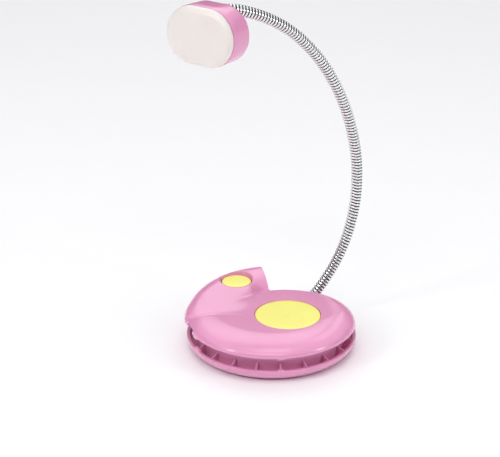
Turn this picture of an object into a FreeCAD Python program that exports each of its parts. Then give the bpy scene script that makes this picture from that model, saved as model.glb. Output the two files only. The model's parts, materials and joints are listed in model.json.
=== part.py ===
import FreeCAD, Part
import math
import os

import Sketcher

# A clip-on reading lamp. The base is a see-saw clip shaped like a snail: a saucer (lower jaw) and a
# shell (upper jaw) on a hinge across the middle. A coiled gooseneck rises from the back right of the
# shell to a small head. Millimetres, +Z up. The origin is the centre of the saucer's resting face,
# and the clip's lip points along -Y.

Vec = FreeCAD.Vector
UP = Vec(0, 0, 1)
doc = FreeCAD.newDocument("reading_lamp")

# ---------------------------------------------------------------- driving dimensions
SIZES = {
    "base_radius": 33,          # saucer rim and the front of the shell
    "foot_radius": 26,          # edge of the flat resting face
    "jaw_height": 5.3,          # resting face to the saucer's rim
    "rim_gap": 5.1,             # between the two rims, clip closed
    "shell_rise": 4.9,          # shell rim to its flat top
    "shoulder": 12,             # width of the shell's rounded shoulder
    "wall": 1.4,
    "coil_radius": 25.6,        # the snail's inner coil, which touches the round base from inside
    "coil_turn": -40.1,         # azimuth where they touch
    "whorl_offset": 3.0,        # how far the outer whorl swings out of the round base
    "whorl_shoulder": 8,
    "whorl_tilt": 6.4,          # the whorl climbs towards its mouth
    "whorl_start": 190,         # azimuth where the whorl leaves the round base
    "crease_radius": 20.8,      # foot of the whorl's inner flank, about the coil's centre
    "crease_level": 13.3,
    "mouth_turn": 16,           # the mouth's plane leans out of the radial direction
    "ring_radius": 28.6,        # wall inside the saucer that carries the grip plate
    "ring_height": 8.3,
    "ring_wall": 1.3,
    "floor_thickness": 1.4,
    "rib_thickness": 0.8,
    "rib_pitch": 18,
    "rib_centre": -84.3,
    "grip_thickness": 1.2,
    "hinge_turn": 5.7,          # the hinge line's azimuth
    "hinge_y": 3,
    "hinge_height": 10.9,
    "pin_radius": 1.25,
    "pin_clearance": 0.05,
    "lug_radius": 2.0,
    "clip_opening": 14,
    "cover_x": 6.2,
    "cover_y": -5.4,
    "cover_radius": 12.6,
    "cover_thickness": 1.1,
    "cover_gap": 0.2,
    "cell_radius": 10,
    "cell_thickness": 1.6,
    "button_radius": 6,
    "button_x": -13.8,
    "button_y": 21.6,
    "button_level": 17.2,
    "button_thickness": 1.8,
    "button_travel": 0.8,
    "neck_radius": 2.2,
    "neck_joint_gap": 0.1,
    "neck_root_x": 17.9,
    "neck_root_y": 20.4,
    "neck_root_z": 11.8,
    "neck_plane": 27.7,         # azimuth of the neck's plane
    "neck_plane_lean": 4,
    "neck_root_lean": 44.6,
    "link_length": 18.6,
    "head_x": -25,
    "head_y": -17,
    "head_z": 126,
    "head_yaw": -33,
    "head_roll": 3,
    "head_half_flat": 3.4,      # half the straight stretch of the obround face
    "head_radius": 10.3,
    "head_depth": 11,
    "head_edge": 2.5,
    "head_wall": 1.2,
    "diffuser_height": 3,
    "diffuser_edge": 2.2,
}
LINK_TURNS = (20, 17, 14, 12, 11, 13, 16, 18)    # degrees that each link of the neck bends at rest

sheet = doc.addObject("Spreadsheet::Sheet", "Sizes")
for row, (alias, number) in enumerate(SIZES.items(), start=1):
    sheet.set("A%d" % row, alias)
    sheet.set("B%d" % row, str(number))
    sheet.setAlias("B%d" % row, alias)
for number, turn in enumerate(LINK_TURNS, start=1):
    row = len(SIZES) + number
    sheet.set("A%d" % row, "link_turn_%d" % number)
    sheet.set("B%d" % row, str(turn))
    sheet.setAlias("B%d" % row, "link_turn_%d" % number)
doc.recompute()


def size(alias):
    """The value of one cell of the sheet."""
    return float(sheet.get(alias))


WALL = size("wall")
BASE_R = size("base_radius")
JAW_TOP = size("jaw_height")
RIM = JAW_TOP + size("rim_gap")
TOP = RIM + size("shell_rise")
HINGE_DIR = Vec(math.cos(math.radians(size("hinge_turn"))), math.sin(math.radians(size("hinge_turn"))), 0)
HINGE_BACK = Vec(-HINGE_DIR.y, HINGE_DIR.x, 0)
HINGE = Vec(0, size("hinge_y"), size("hinge_height"))
FAR = 80.0        # larger than the base, for cutting shapes
parts = {}


def keep(label, thing):
    """Register a document object as one sub-part of the lamp."""
    thing.Label = label
    parts[label] = thing
    return thing


def polar(radius, azimuth, z=0.0):
    angle = math.radians(azimuth)
    return Vec(radius * math.cos(angle), radius * math.sin(angle), z)


COIL = polar(BASE_R - size("coil_radius"), size("coil_turn"))
WELL = Vec(size("cover_x"), size("cover_y"), 0)      # centre of the battery well and its cover


def turned(axis, angle):
    return FreeCAD.Rotation(axis, angle)


def feature(label, shape, placement=None):
    """A sub-part whose shape is set by this script."""
    thing = doc.addObject("Part::Feature", label)
    thing.Shape = shape
    if placement is not None:
        thing.Placement = placement
    return keep(label, thing)


def primitive(kind, name, sizes, placement=None):
    """A Part primitive with its sizes bound to the sheet."""
    thing = doc.addObject("Part::" + kind, name)
    for prop, expression in sizes.items():
        thing.setExpression(prop, expression)
    if placement is not None:
        thing.Placement = placement
    return thing


def boolean(kind, name, base, tool):
    thing = doc.addObject("Part::" + kind, name)
    thing.Base = base
    thing.Tool = tool
    return thing


def origin_plane(body, role):
    for part in body.Origin.OriginFeatures:
        if part.Role == role:
            return part
    raise ValueError(role)


def disc_body(label, radius, thickness, placement, rounding=None):
    """A PartDesign disc, its top edge rounded if asked, with sizes bound to the sheet."""
    body = doc.addObject("PartDesign::Body", label)
    sketch = body.newObject("Sketcher::SketchObject", label + "_outline")
    sketch.AttachmentSupport = (origin_plane(body, "XY_Plane"), "")
    sketch.MapMode = "FlatFace"
    circle = sketch.addGeometry(Part.Circle(Vec(0, 0, 0), UP, 5.0))
    sketch.addConstraint(Sketcher.Constraint("Coincident", circle, 3, -1, 1))
    limit = sketch.addConstraint(Sketcher.Constraint("Radius", circle, 5.0))
    sketch.setExpression("Constraints[%d]" % limit, radius)
    pad = body.newObject("PartDesign::Pad", label + "_pad")
    pad.Profile = sketch
    pad.setExpression("Length", thickness)
    doc.recompute()
    if rounding is not None:
        fillet = body.newObject("PartDesign::Fillet", label + "_edge")
        fillet.Base = (pad, [top_edge(pad.Shape)])
        fillet.setExpression("Radius", rounding)
        doc.recompute()
    body.Placement = placement
    return keep(label, body)


def top_edge(shape):
    """The name of the highest circular edge."""
    ranked = [(edge.BoundBox.Center.z, "Edge%d" % (i + 1)) for i, edge in enumerate(shape.Edges)
              if edge.BoundBox.ZLength < 1e-6]
    return max(ranked)[1]


def box(corner_low, corner_high):
    span = corner_high - corner_low
    return Part.makeBox(span.x, span.y, span.z, corner_low)


def prism(points, low, high):
    """A vertical prism over a polygon."""
    wire = Part.makePolygon([Vec(p.x, p.y, low) for p in points] + [Vec(points[0].x, points[0].y, low)])
    return Part.Face(wire).extrude(Vec(0, 0, high - low))


def tube(outer, inner, low, high, centre=Vec(0, 0, 0)):
    base = Vec(centre.x, centre.y, low)
    ring = Part.makeCylinder(outer, high - low, base)
    return ring.cut(Part.makeCylinder(inner, high - low, base))


def hinge_place(along, back=0.0, rise=0.0):
    """A point given along the hinge line, behind it and above it."""
    return HINGE + HINGE_DIR * along + HINGE_BACK * back + UP * rise


def hinge_rod(start, end, radius):
    return Part.makeCylinder(radius, end - start, hinge_place(start), HINGE_DIR)


def hinge_box(start, end, back_low, back_high, low, high):
    """A box lined up with the hinge; low and high are heights above the resting face."""
    block = Part.makeBox(end - start, back_high - back_low, high - low)
    foot = hinge_place(start, back_low, low - HINGE.z)
    block.Placement = FreeCAD.Placement(foot, turned(UP, size("hinge_turn")))
    return block


# ---------------------------------------------------------------- the snail's outline
def quarter(centre, across, up):
    """A quarter of an ellipse in the XZ plane, from centre + across to centre + up."""
    side = centre + Vec(across, 0, 0)
    end = centre + Vec(0, 0, up)
    middle = centre + Vec(across * math.sqrt(0.5), 0, up * math.sqrt(0.5))
    if abs(across) > abs(up):
        ellipse = Part.Ellipse(side, end, centre)
    else:
        ellipse = Part.Ellipse(end, side, centre)
    first, half, last = [ellipse.parameter(point) for point in (side, middle, end)]
    low, high = min(first, last), max(first, last)
    if not low < half < high:
        low, high = high, low + 2 * math.pi
    return Part.ArcOfEllipse(ellipse, low, high).toShape()


def dome(radius, shoulder, rise, skirt, centre):
    """A flat-topped dome with an elliptical shoulder; its rim is at RIM and its skirt hangs below."""
    inner = radius - shoulder
    rim = Vec(radius, 0, RIM)
    edge = Vec(inner, 0, RIM + rise)
    arc = quarter(Vec(inner, 0, RIM), shoulder, rise)
    lines = [
        Part.LineSegment(edge, Vec(0, 0, RIM + rise)).toShape(),
        Part.LineSegment(Vec(0, 0, RIM + rise), Vec(0, 0, RIM - skirt)).toShape(),
        Part.LineSegment(Vec(0, 0, RIM - skirt), Vec(radius, 0, RIM - skirt)).toShape(),
        Part.LineSegment(Vec(radius, 0, RIM - skirt), rim).toShape(),
    ]
    wire = Part.Wire(Part.__sortEdges__([arc] + lines))
    solid = Part.Face(wire).revolve(Vec(0, 0, 0), UP, 360)
    solid.translate(Vec(centre.x, centre.y, 0))
    return solid


MOUTH_FOOT = Vec(-0.2, 21, 0)       # where the mouth's edge meets the crease
MOUTH_OUT = polar(1, 90 + size("mouth_turn"))
WHORL_AZ = size("whorl_start")
CLIMB_AXIS = polar(1, WHORL_AZ - 180)
WHORL_CENTRE = CLIMB_AXIS * size("whorl_offset")
WHORL_R = BASE_R + size("whorl_offset")
TANGENT = polar(FAR, size("coil_turn"))


def front_region(inset):
    """Where the round base keeps its outline: in front of the whorl's start line."""
    start = polar(FAR, WHORL_AZ)
    shift = UP.cross(CLIMB_AXIS) * inset
    return [COIL, TANGENT, Vec(TANGENT.x, -FAR, 0), Vec(-FAR, -FAR, 0), start + shift]


def whorl_region(inset):
    """Where the whorl is: behind its start line and left of its mouth."""
    back = Vec(-inset, 0, 0)
    return [COIL + back, polar(FAR, WHORL_AZ), Vec(-FAR, FAR, 0),
            MOUTH_FOOT + MOUTH_OUT * FAR + back, MOUTH_FOOT + back]


def crease_cone(inset):
    """The space inside the whorl's sloping inner flank."""
    foot = size("crease_radius") + inset
    level = size("crease_level") - 8
    return Part.makeCone(foot - 8 * 0.6, foot + 8 * 0.6, 16, Vec(COIL.x, COIL.y, level))


def snail_parts(inset, low):
    """The shell's outline drawn in by inset and cut off below a height: round base, coil and whorl."""
    rise = size("shell_rise") - inset
    skirt = 8.0
    round_part = dome(BASE_R - inset, size("shoulder"), rise, skirt, Vec(0, 0, 0))
    round_part = round_part.common(prism(front_region(inset), 0, FAR))
    coil = dome(size("coil_radius") - inset, size("shoulder"), rise, skirt, COIL)
    coil = coil.cut(prism(front_region(inset), 0, FAR))
    whorl = dome(WHORL_R - inset, size("whorl_shoulder"), rise, skirt, WHORL_CENTRE)
    whorl.rotate(Vec(0, 0, RIM), CLIMB_AXIS, size("whorl_tilt"))
    whorl = whorl.common(prism(whorl_region(inset), 0, FAR)).cut(crease_cone(inset))
    above = box(Vec(-FAR, -FAR, low), Vec(FAR, FAR, FAR))
    return [part.common(above) for part in (round_part, coil, whorl)]


def snail(inset, low):
    """The shell's solid outline."""
    round_part, coil, whorl = snail_parts(inset, low)
    return round_part.fuse(coil).fuse(whorl)


def neck_frames():
    """The neck's joints from root to head: the point, its tangent and the side it bends towards."""
    plane_dir = polar(1, size("neck_plane"))
    sideways = UP.cross(plane_dir)
    lean = math.radians(size("neck_plane_lean"))
    rise = UP * math.cos(lean) - sideways * math.sin(lean)
    normal = rise.cross(plane_dir) * -1
    start = math.radians(size("neck_root_lean"))
    tangent = plane_dir * math.sin(start) + rise * math.cos(start)
    point = Vec(size("neck_root_x"), size("neck_root_y"), size("neck_root_z"))
    frames = []
    for turn in LINK_TURNS:
        angle = math.radians(turn)
        radius = size("link_length") / angle
        inward = normal.cross(tangent)
        frames.append((point, tangent, inward))
        point = point + tangent * (radius * math.sin(angle)) + inward * (radius * (1 - math.cos(angle)))
        tangent = tangent * math.cos(angle) + inward * math.sin(angle)
    frames.append((point, tangent, normal.cross(tangent)))
    return frames


FRAMES = neck_frames()
NECK_R = size("neck_radius")
ROOT_LENGTH = 6.4      # of neck below its first joint, held in the shell's socket
SOCKET_TOP = 3.0       # the socket's mouth lies this far below the first joint


def socket_solid(radius, below, above):
    point, tangent, _ = FRAMES[0]
    return Part.makeCylinder(radius, below - above, point - tangent * below, tangent)


# ---------------------------------------------------------------- lower jaw
def saucer(inset):
    """The saucer's outside, or its inside when drawn in: a flat foot and an elliptical flank."""
    foot = size("foot_radius") - inset
    rim = BASE_R - inset
    low = inset
    flank = quarter(Vec(foot, 0, JAW_TOP), rim - foot, low - JAW_TOP)
    edges = [
        flank,
        Part.LineSegment(Vec(rim, 0, JAW_TOP), Vec(0, 0, JAW_TOP)).toShape(),
        Part.LineSegment(Vec(0, 0, JAW_TOP), Vec(0, 0, low)).toShape(),
        Part.LineSegment(Vec(0, 0, low), Vec(foot, 0, low)).toShape(),
    ]
    wire = Part.Wire(Part.__sortEdges__(edges))
    return Part.Face(wire).revolve(Vec(0, 0, 0), UP, 360)


def rib(azimuth):
    """One gusset between the ring wall and the rim, its top falling outwards."""
    inner = size("ring_radius") - 0.3
    outer = BASE_R - WALL - 0.2
    low = size("floor_thickness") - 0.2
    profile = [Vec(inner, 0, low), Vec(outer, 0, low), Vec(outer, 0, JAW_TOP - 0.25), Vec(inner, 0, JAW_TOP + 1.4)]
    face = Part.Face(Part.makePolygon(profile + [profile[0]]))
    gusset = face.extrude(Vec(0, size("rib_thickness"), 0))
    gusset.translate(Vec(0, -size("rib_thickness") / 2, 0))
    gusset.rotate(Vec(0, 0, 0), UP, azimuth)
    return gusset


def nub(azimuth, low, high):
    """A small three-sided locating nub on a rim."""
    points = [polar(BASE_R - 1.3, azimuth - 2), polar(BASE_R - 0.1, azimuth), polar(BASE_R - 1.3, azimuth + 2)]
    return prism(points, low, high)


LUGS = ((-26.5, -24.8), (-20.6, -18.9), (20.2, 21.7))       # along the hinge line
GRIP_BACK = -3.0       # the grip plate ends this far in front of the hinge


def lower_jaw():
    outside = saucer(0)
    inside = saucer(size("floor_thickness"))
    jaw = outside.cut(inside)
    ring_r = size("ring_radius")
    ring = tube(ring_r, ring_r - size("ring_wall"), 0.6, size("ring_height"))
    braces = [hinge_box(x - 0.5, x + 0.5, -40, GRIP_BACK, 0.6, size("ring_height")) for x in (-14, 0, 14)]
    inner = Part.makeCylinder(ring_r - 0.4, 30, Vec(0, 0, 0.5))
    cross = hinge_box(-40, 40, GRIP_BACK - 1.2, GRIP_BACK, 0.6, size("ring_height"))
    frame = ring
    for brace in braces + [cross]:
        frame = frame.fuse(brace.common(inner))
    frame = frame.common(hinge_box(-FAR, FAR, -FAR, GRIP_BACK, 0, FAR))
    jaw = jaw.fuse(frame)
    bowl = saucer(0.3).fuse(Part.makeCylinder(BASE_R - 0.3, 10, Vec(0, 0, JAW_TOP - 0.01)))
    for k in range(-4, 5):
        jaw = jaw.fuse(rib(size("rib_centre") + k * size("rib_pitch")).common(bowl))
    for azimuth, rise in ((-84.6, 0.5), (-150, 1.3)):
        jaw = jaw.fuse(nub(azimuth, JAW_TOP - 1.2, JAW_TOP + rise))
    for start, end in LUGS:
        lug = hinge_rod(start, end, size("lug_radius"))
        lug = lug.fuse(hinge_box(start, end, -size("lug_radius"), size("lug_radius"), 0.7, HINGE.z))
        jaw = jaw.fuse(lug)
    swing = hinge_box(-FAR, FAR, 0, FAR, RIM - 0.3, RIM + FAR)
    swing.rotate(HINGE, HINGE_DIR, -size("clip_opening"))
    swing = swing.cut(hinge_box(-FAR, FAR, -FAR, 4.2, 0, FAR))
    jaw = jaw.cut(swing)
    for start, end in LUGS:
        jaw = jaw.cut(hinge_rod(start - 0.1, end + 0.1, size("pin_radius")))
    return jaw.removeSplitter()


feature("lower_jaw", lower_jaw())


def grip_plate():
    low = size("ring_height")
    plate = Part.makeCylinder(size("ring_radius"), size("grip_thickness"), Vec(0, 0, low))
    plate = plate.common(hinge_box(-FAR, FAR, -FAR, GRIP_BACK, 0, FAR))
    top = low + size("grip_thickness")
    for k in range(5):
        groove = hinge_box(-FAR, FAR, -25.2 + 4.2 * k, -24.4 + 4.2 * k, top - 0.4, top + 1)
        plate = plate.cut(groove)
    return plate


feature("grip_plate", grip_plate())

PIN_ENDS = ((-32.4, -17.2), (18.7, 28.2))
feature("hinge_pins", Part.makeCompound([hinge_rod(a, b, size("pin_radius")) for a, b in PIN_ENDS]))

SPRING_WIRE = 0.8
SPRING_COIL = 1.9      # mid radius of the spring's coil
SPRING_SPAN = (-24.5, -20.9)


def torsion_spring():
    """Closed rings stand for the coil's turns; two legs run back to the floor and to the cover."""
    start, end = SPRING_SPAN
    turns = int((end - start) / (SPRING_WIRE + 0.05))
    rings = []
    for i in range(turns):
        at = hinge_place(start + SPRING_WIRE / 2 + i * (SPRING_WIRE + 0.05))
        rings.append(Part.makeTorus(SPRING_COIL, SPRING_WIRE / 2 + 0.03, at, HINGE_DIR))
    leg = 9.0
    low_start = hinge_place(start + SPRING_WIRE / 2, 0, -SPRING_COIL)
    low_end = hinge_place(start + SPRING_WIRE / 2, leg, 1.4 + SPRING_WIRE / 2 + 0.05 - HINGE.z)
    high_start = hinge_place(end - SPRING_WIRE / 2 - 0.1, 0, -SPRING_COIL)
    high_end = hinge_place(end - SPRING_WIRE / 2 - 0.1, leg, RIM - 0.5 - HINGE.z)
    body = rings[0]
    for ring in rings[1:]:
        body = body.fuse(ring)
    for a, b in ((low_start, low_end), (high_start, high_end)):
        rod = Part.makeCylinder(SPRING_WIRE / 2, (b - a).Length, a, b - a)
        body = body.fuse(rod).fuse(Part.makeSphere(SPRING_WIRE / 2, b))
    return body


feature("torsion_spring", torsion_spring())

# ---------------------------------------------------------------- upper shell
EARS = ((-18.6, -17.4), (18.6, 19.9))
BUTTON = Vec(size("button_x"), size("button_y"), 0)
TILT = turned(CLIMB_AXIS, size("whorl_tilt"))
SCREW_SPOTS = (polar(24.5, -60), polar(24.5, -120), polar(24.0, 150))


def upper_shell():
    shell = snail(0, RIM)
    hollow = shell
    for cavity in snail_parts(WALL, RIM - 1):
        hollow = hollow.cut(cavity)
    for start, end in EARS:
        ear = hinge_box(start, end, -2.6, 2.6, HINGE.z, TOP).fuse(hinge_rod(start, end, 2.6))
        ear = ear.common(shell.fuse(box(Vec(-FAR, -FAR, 0), Vec(FAR, FAR, RIM + 0.1))))
        hollow = hollow.fuse(ear)
    notch = [Vec(0, 0, 0), polar(FAR, -157), polar(FAR, -170)]
    hollow = hollow.cut(prism(notch, RIM - 1, RIM + 2.6).common(tube(FAR, BASE_R - WALL - 0.5, 0, FAR)))
    for azimuth in (-84.6, -152):
        hollow = hollow.fuse(nub(azimuth, RIM - 0.7, RIM + 0.4))
    cheek = hinge_rod(-FAR, -20, 2.6).common(tube(BASE_R, BASE_R - WALL, 0, FAR))
    hollow = hollow.fuse(cheek.cut(box(Vec(-FAR, -FAR, RIM + 0.5), Vec(FAR, FAR, FAR))))
    cheek = hinge_rod(20, FAR, 2.6).common(tube(size("coil_radius"), size("coil_radius") - WALL, 0, FAR, COIL))
    hollow = hollow.fuse(cheek.cut(box(Vec(-FAR, -FAR, RIM + 0.5), Vec(FAR, FAR, FAR))))
    for spot in SCREW_SPOTS:
        post = Part.makeCylinder(1.9, FAR, Vec(spot.x, spot.y, RIM + 1.1)).common(shell)
        hollow = hollow.fuse(post).cut(Part.makeCylinder(0.75, 2.6, Vec(spot.x, spot.y, RIM + 1.0)))
    socket = socket_solid(NECK_R + 1.2, ROOT_LENGTH + 4, SOCKET_TOP)
    socket = socket.common(box(Vec(-FAR, -FAR, 6.3), Vec(FAR, FAR, FAR)))
    hollow = hollow.fuse(socket)
    hollow = hollow.cut(Part.makeCylinder(size("cover_radius") + size("cover_gap"), 10, WELL + UP * (TOP - 4)))
    opening = Part.makeCylinder(size("button_radius") + 0.25, 12, Vec(BUTTON.x, BUTTON.y, RIM + 2))
    hollow = hollow.cut(opening)
    for start, end in ((-FAR, -17), (18.3, FAR)):
        hollow = hollow.cut(hinge_rod(start, end, size("pin_radius") + size("pin_clearance")))
    bore = socket_solid(NECK_R + 0.03, ROOT_LENGTH, -20)
    hollow = hollow.cut(bore)
    return hollow.removeSplitter()


feature("upper_shell", upper_shell())


# ---------------------------------------------------------------- inside the shell
COVER_LOW = RIM + 0.1
COVER_HIGH = RIM + 1.1
CUP_LOW = size("ring_height") + size("grip_thickness") + 0.15
CELL_LOW = CUP_LOW + 1.05
TUB_INNER = size("cell_radius") + 0.3
SLOTS = ((-34, -16.8), (18.2, 30))
BOARD_LOW = COVER_HIGH + 0.6
BOARD = Vec(-11.5, 20.5, 0)
BOARD_X = 12.0
BOARD_Y = 9.0
STANDOFFS = (Vec(-16, 17.5, 0), Vec(-7.5, 23.5, 0))


def bottom_cover():
    slab = box(Vec(-FAR, -FAR, COVER_LOW), Vec(FAR, FAR, COVER_HIGH))
    cover = snail(WALL + 0.2, COVER_LOW).common(slab)
    cup_r = size("cell_radius") + 1.4
    cover = cover.fuse(Part.makeCylinder(cup_r, COVER_HIGH - CUP_LOW, WELL + UP * CUP_LOW))
    cover = cover.cut(Part.makeCylinder(TUB_INNER, 5, WELL + UP * (CUP_LOW + 0.85)))
    for start, end in SLOTS:
        cover = cover.cut(hinge_box(start, end, -4, 4, 0, FAR))
    cover = cover.cut(socket_solid(NECK_R + 1.4, ROOT_LENGTH + 6, SOCKET_TOP - 2))
    for spot in SCREW_SPOTS:
        cover = cover.cut(Part.makeCylinder(0.85, 10, Vec(spot.x, spot.y, 5)))
    for spot in STANDOFFS:
        cover = cover.fuse(Part.makeCylinder(1.4, BOARD_LOW - COVER_HIGH, spot + UP * COVER_HIGH))
    return max(cover.removeSplitter().Solids, key=lambda solid: solid.Volume)


feature("bottom_cover", bottom_cover())


def screw(spot, head_low):
    head = Part.makeCylinder(1.4, 0.7, Vec(spot.x, spot.y, head_low))
    slot = box(Vec(spot.x - 2, spot.y - 0.2, head_low - 0.1), Vec(spot.x + 2, spot.y + 0.2, head_low + 0.25))
    return head.cut(slot).fuse(Part.makeCylinder(0.72, 3.4, Vec(spot.x, spot.y, head_low + 0.6)))


feature("cover_screws", Part.makeCompound([screw(spot, COVER_LOW - 0.75) for spot in SCREW_SPOTS]))


def battery_tub():
    low = COVER_HIGH + 0.02
    ring = tube(size("cell_radius") + 3.6, TUB_INNER, low, TOP - WALL - 0.2, WELL)
    lip = tube(size("cover_radius"), TUB_INNER, low, TOP - size("cover_thickness") - 0.05, WELL)
    return ring.fuse(lip).removeSplitter()


feature("battery_tub", battery_tub())

for name, level in (("cell_lower", 0.0), ("cell_upper", 1.0)):
    rise = CELL_LOW + level * (size("cell_thickness") + 0.01)
    disc_body(name, "Sizes.cell_radius", "Sizes.cell_thickness",
              FreeCAD.Placement(WELL + UP * rise, FreeCAD.Rotation()), "Sizes.cell_thickness * 0.2")

contact = primitive("Cylinder", "negative_contact", {"Radius": "Sizes.cell_radius * 0.6"})
contact.Height = 0.16
contact.Placement = FreeCAD.Placement(WELL + UP * (CELL_LOW - 0.18), FreeCAD.Rotation())
keep("negative_contact", contact)

outer = primitive("Cylinder", "contact_outer", {"Radius": "Sizes.cell_radius + 0.25"})
inner = primitive("Cylinder", "contact_inner", {"Radius": "Sizes.cell_radius + 0.05"})
for cylinder in (outer, inner):
    cylinder.Height = 2.2
    cylinder.Angle = 40
strip = boolean("Cut", "positive_contact", outer, inner)
strip.Placement = FreeCAD.Placement(WELL + UP * (COVER_HIGH + 0.1), turned(UP, 115))
keep("positive_contact", strip)

disc_body("battery_cover", "Sizes.cover_radius", "Sizes.cover_thickness",
          FreeCAD.Placement(WELL + UP * (TOP - size("cover_thickness")), FreeCAD.Rotation()), "0.35 mm")

# ---------------------------------------------------------------- power button
CAP_LOW = size("button_level") - size("button_thickness")
disc_body("button_cap", "Sizes.button_radius", "Sizes.button_thickness",
          FreeCAD.Placement(BUTTON + UP * CAP_LOW, FreeCAD.Rotation()), "0.6 mm")

board_corner = Vec(BOARD.x - BOARD_X / 2, BOARD.y - BOARD_Y / 2, BOARD_LOW)
board = primitive("Box", "circuit_board", {})
board.Length = BOARD_X
board.Width = BOARD_Y
board.Height = 1.0
board.Placement = FreeCAD.Placement(board_corner, FreeCAD.Rotation())
keep("circuit_board", board)

BOARD_TOP = BOARD_LOW + 1.0
PLUNGER_R = 1.6
switch_block = primitive("Box", "switch_block", {})
switch_block.Length = 6
switch_block.Width = 6
switch_block.Height = 1.4
switch_block.Placement = FreeCAD.Placement(BUTTON + Vec(-3, -3, BOARD_TOP), FreeCAD.Rotation())
switch_bore = primitive("Cylinder", "switch_bore", {})
switch_bore.Radius = PLUNGER_R + 0.1
switch_bore.Height = 2
switch_bore.Placement = FreeCAD.Placement(BUTTON + UP * (BOARD_TOP + 0.1), FreeCAD.Rotation())
keep("switch_body", boolean("Cut", "switch_body", switch_block, switch_bore))

plunger = primitive("Cylinder", "switch_plunger", {})
plunger.Radius = PLUNGER_R
plunger.Height = CAP_LOW - BOARD_TOP - 1.0
plunger.Placement = FreeCAD.Placement(BUTTON + UP * (BOARD_TOP + 1.0), FreeCAD.Rotation())
keep("switch_plunger", plunger)

resistor = primitive("Box", "resistor", {})
resistor.Length = 1.6
resistor.Width = 3.2
resistor.Height = 0.6
resistor.Placement = FreeCAD.Placement(BOARD + Vec(4, -1.6, BOARD_TOP), FreeCAD.Rotation())
keep("resistor", resistor)

# ---------------------------------------------------------------- gooseneck
CUP_GAP = "Sizes.neck_radius + Sizes.neck_joint_gap"


def basis(x_dir, y_dir):
    """The rotation that takes local X and Y to two square directions."""
    z_dir = x_dir.cross(y_dir)
    return FreeCAD.Rotation(x_dir, y_dir, z_dir, "XYZ")


def towards(direction):
    return FreeCAD.Rotation(UP, direction)


def knuckle(name, point, tangent):
    """The round end of a link: the half ball that looks back along the neck."""
    ball = primitive("Sphere", name, {"Radius": "Sizes.neck_radius"})
    ball.Angle2 = 0
    ball.Placement = FreeCAD.Placement(point, towards(tangent))
    return ball


def cup(name, point):
    ball = primitive("Sphere", name, {"Radius": CUP_GAP})
    ball.Placement = FreeCAD.Placement(point, FreeCAD.Rotation())
    return ball


def bend(name, frame, radius, angle):
    """A stretch of neck that follows one arc from a joint."""
    point, tangent, inward = frame
    ring = primitive("Torus", name, {"Radius1": radius, "Radius2": "Sizes.neck_radius"})
    ring.setExpression("Angle3", angle)
    doc.recompute()
    centre = point + inward * ring.Radius1.Value
    ring.Placement = FreeCAD.Placement(centre, basis(inward * -1, tangent))
    return ring


root_point, root_tangent, _ = FRAMES[0]
root_rod = primitive("Cylinder", "root_rod", {"Radius": "Sizes.neck_radius"})
root_rod.Height = ROOT_LENGTH - 0.1
root_rod.Placement = FreeCAD.Placement(root_point - root_tangent * (ROOT_LENGTH - 0.1), towards(root_tangent))
keep("neck_root", boolean("Cut", "neck_root", root_rod, cup("root_cup", root_point)))

LINKS = len(LINK_TURNS)
for number in range(1, LINKS + 1):
    frame = FRAMES[number - 1]
    turn = "Sizes.link_turn_%d" % number
    arc = bend("link_arc_%d" % number, frame, "Sizes.link_length * 180 / (pi * %s)" % turn, turn)
    whole = boolean("Fuse", "link_whole_%d" % number, arc, knuckle("link_end_%d" % number, frame[0], frame[1]))
    keep("neck_link_%d" % number,
         boolean("Cut", "neck_link_%d" % number, whole, cup("link_cup_%d" % number, FRAMES[number][0])))

TIP_RADIUS = 30.0      # the last stretch bends more tightly, into the head
TIP_TURN = 19.0
tip_arc = bend("tip_arc", FRAMES[-1], "%g" % TIP_RADIUS, "%g" % TIP_TURN)
keep("neck_tip", boolean("Fuse", "neck_tip", tip_arc, knuckle("tip_end", FRAMES[-1][0], FRAMES[-1][1])))

# ---------------------------------------------------------------- head
# Built in its own frame: X to the right of the lit face, Y into the head, Z up; the rim is at Y = 0.
HEAD = FreeCAD.Placement(Vec(size("head_x"), size("head_y"), size("head_z")),
                         turned(UP, size("head_yaw")) * turned(Vec(0, 1, 0), size("head_roll")))
FLAT = size("head_half_flat")
HEAD_R = size("head_radius")
DEPTH = size("head_depth")
HEAD_WALL = size("head_wall")


def obround(radius, front, back):
    """A prism of the head's face outline, between two depths."""
    right = Part.Arc(Vec(FLAT, front, -radius), Vec(FLAT + radius, front, 0), Vec(FLAT, front, radius))
    left = Part.Arc(Vec(-FLAT, front, radius), Vec(-FLAT - radius, front, 0), Vec(-FLAT, front, -radius))
    top = Part.LineSegment(Vec(FLAT, front, radius), Vec(-FLAT, front, radius))
    bottom = Part.LineSegment(Vec(-FLAT, front, -radius), Vec(FLAT, front, -radius))
    wire = Part.Wire([right.toShape(), top.toShape(), left.toShape(), bottom.toShape()])
    return Part.Face(wire).extrude(Vec(0, back - front, 0))


def edges_at(shape, depth):
    return [edge for edge in shape.Edges
            if edge.BoundBox.YLength < 1e-6 and abs(edge.BoundBox.YMin - depth) < 1e-6]


def tip_frame():
    """Where the neck's end lies, in the head's frame: its end point and direction."""
    point, tangent, inward = FRAMES[-1]
    angle = math.radians(TIP_TURN)
    end = point + tangent * (TIP_RADIUS * math.sin(angle)) + inward * (TIP_RADIUS * (1 - math.cos(angle)))
    direction = tangent * math.cos(angle) + inward * math.sin(angle)
    inverse = HEAD.inverse()
    return inverse.multVec(end), inverse.Rotation.multVec(direction)


TIP_END, TIP_DIR = tip_frame()
POSTS = (Vec(-9.7, 0, 0), Vec(9.7, 0, 0))
BOARD_FRONT = 4.4


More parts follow.
